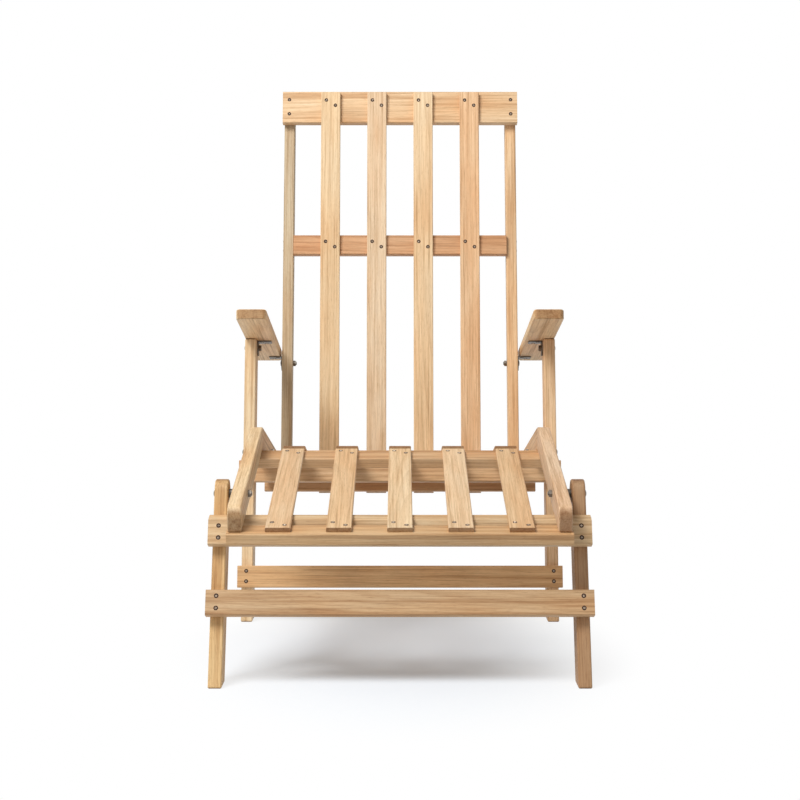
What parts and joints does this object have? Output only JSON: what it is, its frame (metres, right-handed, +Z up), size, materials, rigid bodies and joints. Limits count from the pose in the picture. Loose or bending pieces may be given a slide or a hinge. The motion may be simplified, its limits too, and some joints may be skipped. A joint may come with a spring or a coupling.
{
  "type": "steamer deck chair",
  "caption": "Folding wooden steamer deck chair with a slatted seat bent at the knee, a leaning slatted back, flat armrests and legs hinged on bolts.",
  "frame": {"origin": "on the floor, under the middle of the width and of the depth", "axes": "+X to the right as seen from the front, +Y to the back of the chair, +Z up; a sitter faces -Y"},
  "size_m": [0.6, 0.9464, 1.0185],
  "materials": {
    "teak_rails": "oiled, satin",
    "teak_boards": "oiled, satin",
    "teak_slats": "oiled, satin",
    "bolt_metal": "satin",
    "washer_metal": "dulled",
    "screw_metal": "dulled",
    "bracket_metal": "dulled"
  },
  "bodies": {
    "seat": {"calf_rail_left": "teak_rails", "calf_rail_right": "teak_rails", "seat_rail_left": "teak_rails", "seat_rail_right": "teak_rails", "seat_front_crossbar": "teak_boards", "knee_front_crossbar": "teak_boards", "knee_rear_crossbar": "teak_boards", "seat_rear_crossbar": "teak_boards", "calf_slat_1": "teak_slats", "calf_slat_2": "teak_slats", "calf_slat_3": "teak_slats", "calf_slat_4": "teak_slats", "calf_slat_5": "teak_slats", "seat_slat_1": "teak_slats", "seat_slat_2": "teak_slats", "seat_slat_3": "teak_slats", "seat_slat_4": "teak_slats", "seat_slat_5": "teak_slats", "seat_frame_screws": "screw_metal", "front_pivot_bolts": "bolt_metal", "rear_pivot_bolts": "bolt_metal", "back_pivot_bolts": "bolt_metal", "pivot_nuts": "bolt_metal", "pivot_spacers": "washer_metal"},
    "front_legs": {"front_leg_left": "teak_rails", "front_leg_right": "teak_rails", "front_leg_upper_crossbar": "teak_boards", "front_leg_lower_crossbar": "teak_boards", "front_leg_screws": "screw_metal"},
    "rear_legs": {"rear_leg_left": "teak_rails", "rear_leg_right": "teak_rails", "rear_leg_upper_crossbar": "teak_boards", "rear_leg_lower_crossbar": "teak_boards", "rear_leg_screws": "screw_metal", "armrest_front_bolts": "bolt_metal", "armrest_front_nuts": "bolt_metal"},
    "armrest_left": {"armrest_left": "teak_boards", "armrest_front_bracket_left": "bracket_metal", "armrest_rear_bracket_left": "bracket_metal", "armrest_bracket_screws_left": "screw_metal"},
    "armrest_right": {"armrest_right": "teak_boards", "armrest_front_bracket_right": "bracket_metal", "armrest_rear_bracket_right": "bracket_metal", "armrest_bracket_screws_right": "screw_metal"},
    "back": {"back_rail_left": "teak_rails", "back_rail_right": "teak_rails", "back_top_crossbar": "teak_boards", "back_middle_crossbar": "teak_boards", "back_lower_crossbar": "teak_boards", "back_slat_1": "teak_slats", "back_slat_2": "teak_slats", "back_slat_3": "teak_slats", "back_slat_4": "teak_slats", "back_frame_screws": "screw_metal", "armrest_rear_bolts": "bolt_metal", "armrest_rear_nuts": "bolt_metal"}
  },
  "joints": [
    {"name": "front_leg_fold", "type": "hinge", "parent": "seat", "child": "front_legs", "pos_m": [0, -0.34067, 0.28461], "axis": [1, 0, 0], "range_deg": [0, 118]},
    {"name": "rear_leg_fold", "type": "hinge", "parent": "seat", "child": "rear_legs", "pos_m": [0, 0.13716, 0.30656], "axis": [1, 0, 0], "range_deg": [0, 73]},
    {"name": "back_fold", "type": "hinge", "parent": "seat", "child": "back", "pos_m": [0, 0.29532, 0.27149], "axis": [1, 0, 0], "range_deg": [0, 73]},
    {"name": "armrest_fold_left", "type": "hinge", "parent": "rear_legs", "child": "armrest_left", "pos_m": [0, 0.19094, 0.50154], "axis": [1, 0, 0], "range_deg": [-73, 0]},
    {"name": "armrest_fold_right", "type": "hinge", "parent": "rear_legs", "child": "armrest_right", "pos_m": [0, 0.19094, 0.50154], "axis": [1, 0, 0], "range_deg": [-73, 0]}
  ],
  "couplings": [
    {"joint": "back_fold", "follows": "rear_leg_fold", "ratio": 1},
    {"joint": "armrest_fold_left", "follows": "rear_leg_fold", "ratio": -1},
    {"joint": "armrest_fold_right", "follows": "rear_leg_fold", "ratio": -1}
  ]
}
